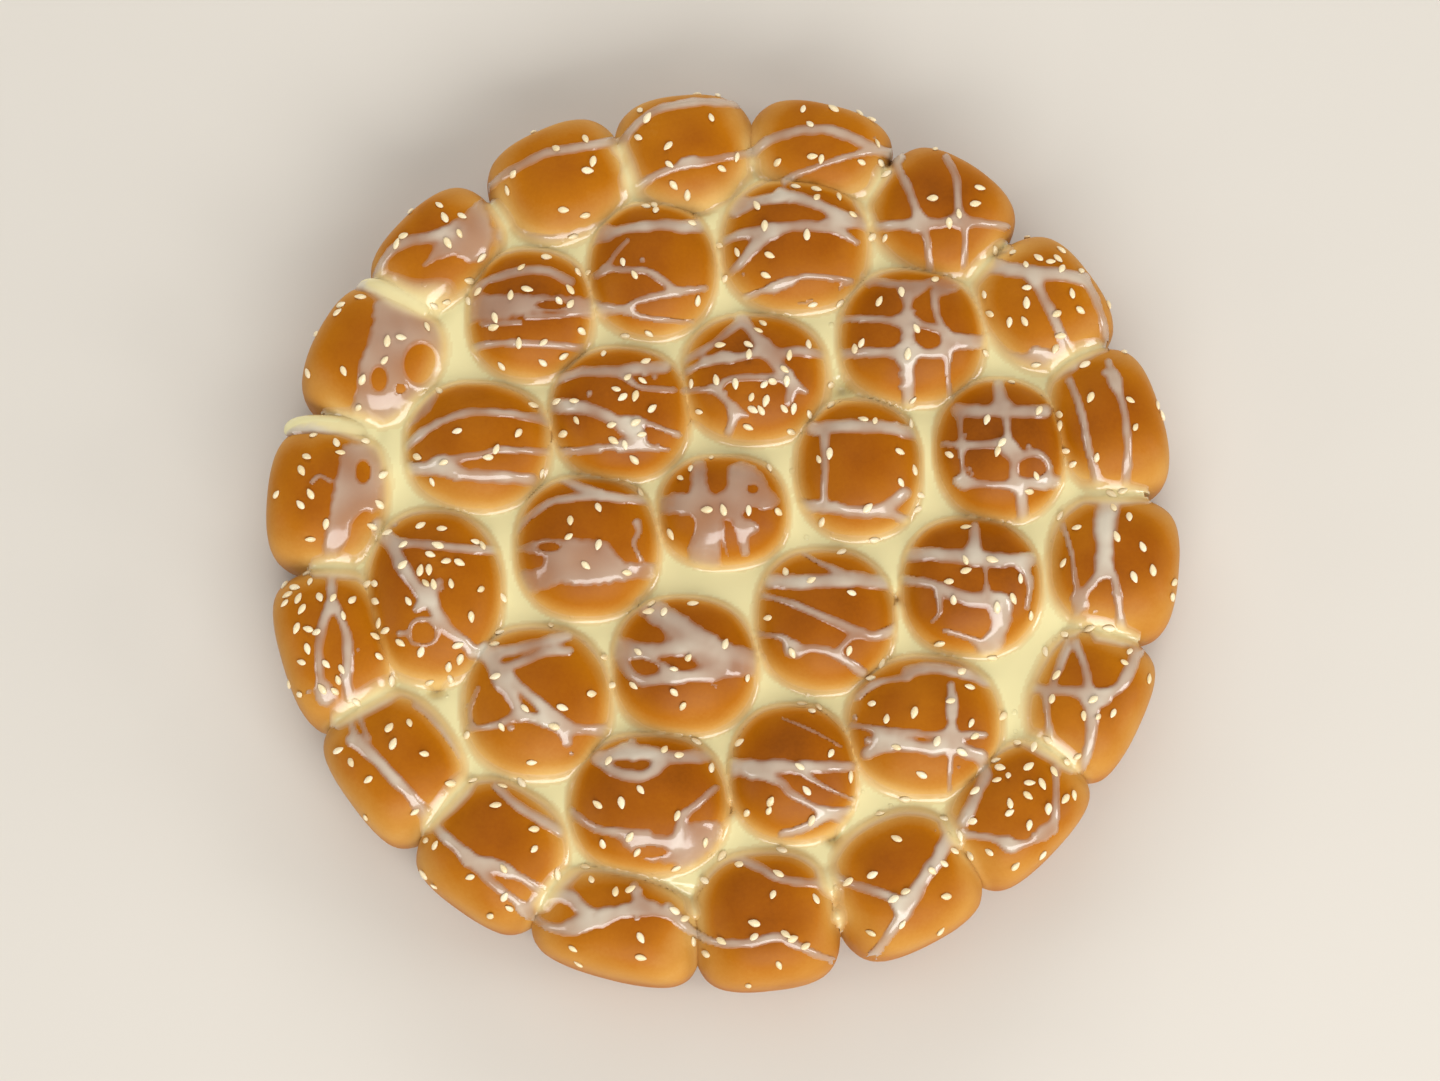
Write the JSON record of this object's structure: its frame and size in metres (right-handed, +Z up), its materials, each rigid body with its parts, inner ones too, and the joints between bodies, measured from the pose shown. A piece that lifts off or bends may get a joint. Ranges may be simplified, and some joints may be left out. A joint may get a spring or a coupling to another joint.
{
  "type": "pull-apart bread",
  "caption": "Round pull-apart bread of small domed buns baked touching in a round pan, with milk cream standing in the valleys, milk drizzled over the domes and sesame seeds.",
  "frame": {"origin": "middle of the round underside, on the surface that the bread stands on", "axes": "+Z up through the domes; +Y is the top of the picture and +X its right"},
  "size_m": [0.2792, 0.279, 0.0434],
  "materials": {
    "crust": "golden-brown baked crust with a thin shine, pale where the buns touch",
    "cream": "glossy pale-yellow milk cream"
  },
  "bodies": {
    "root": {"bread": "crust", "milk_cream": "cream"}
  },
  "joints": []
}
